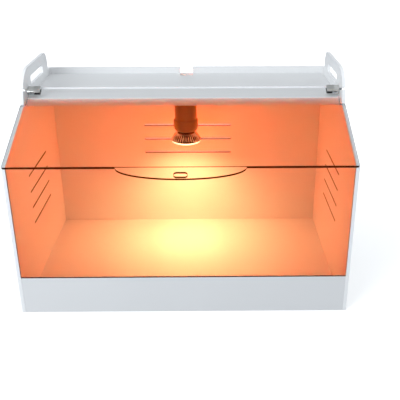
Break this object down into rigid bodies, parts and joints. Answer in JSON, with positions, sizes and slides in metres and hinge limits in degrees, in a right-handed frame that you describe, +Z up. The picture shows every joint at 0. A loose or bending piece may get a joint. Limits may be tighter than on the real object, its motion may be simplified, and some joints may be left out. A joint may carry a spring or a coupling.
{
  "type": "chick brooder box",
  "caption": "White board brooder box with a clear front window, a clear hinged lid on the sloping front, ear handles and a reflector heat lamp under the roof.",
  "frame": {"origin": "centre of the box's underside, without the lid's tab, on the plane it stands on", "axes": "+Z up, -Y towards the clear front window, +X to the right of someone who faces the front"},
  "size_m": [0.6, 0.4248, 0.406],
  "materials": {
    "white_board": "satin white foamed plastic board",
    "clear_acrylic": "clear polished sheet with dark cut edges",
    "plated_clip": "bright plated metal",
    "steel": "zinc plated steel",
    "dark_steel": "blackened steel",
    "pad_rubber": "black rubber",
    "lamp_housing": "moulded phenolic plastic",
    "porcelain": "unglazed white porcelain",
    "brass": "plain brass",
    "frosted_glass": "frosted glass",
    "bulb_cap_metal": "pressed aluminium",
    "black_insulator": "black vitrite"
  },
  "bodies": {
    "box": {"left_side_wall": "white_board", "right_side_wall": "white_board", "back_wall": "white_board", "floor_panel": "white_board", "roof_panel": "white_board", "roof_front_strip": "white_board", "front_board": "white_board", "front_window": "clear_acrylic", "lamp_holder_housing": "lamp_housing", "lamp_holder_skirt": "lamp_housing", "lamp_holder_insert": "porcelain", "lamp_screw_shell": "brass", "lamp_centre_contact": "brass", "lamp_cable_terminals": "brass", "lamp_terminal_screws": "steel", "lamp_holder_screws": "steel"},
    "lid": {"lid": "clear_acrylic", "left_hinge_clip": "plated_clip", "right_hinge_clip": "plated_clip", "left_hinge_pin": "steel", "right_hinge_pin": "steel", "left_clip_pad": "pad_rubber", "right_clip_pad": "pad_rubber", "pin_lock_screws": "dark_steel", "lid_clamp_screws": "dark_steel"},
    "bulb": {"bulb_glass": "frosted_glass", "bulb_screw_cap": "bulb_cap_metal", "bulb_insulator": "black_insulator", "bulb_tip_contact": "brass"}
  },
  "joints": [
    {"name": "lid_hinge", "type": "hinge", "parent": "box", "child": "lid", "pos_m": [0, 0.00219, 0.36494], "axis": [-1, 0, 0], "range_deg": [0, 135]},
    {"name": "bulb_turn", "type": "hinge", "parent": "box", "child": "bulb", "pos_m": [0, 0.087, 0.29], "axis": [0, 0, 1], "continuous": true}
  ]
}
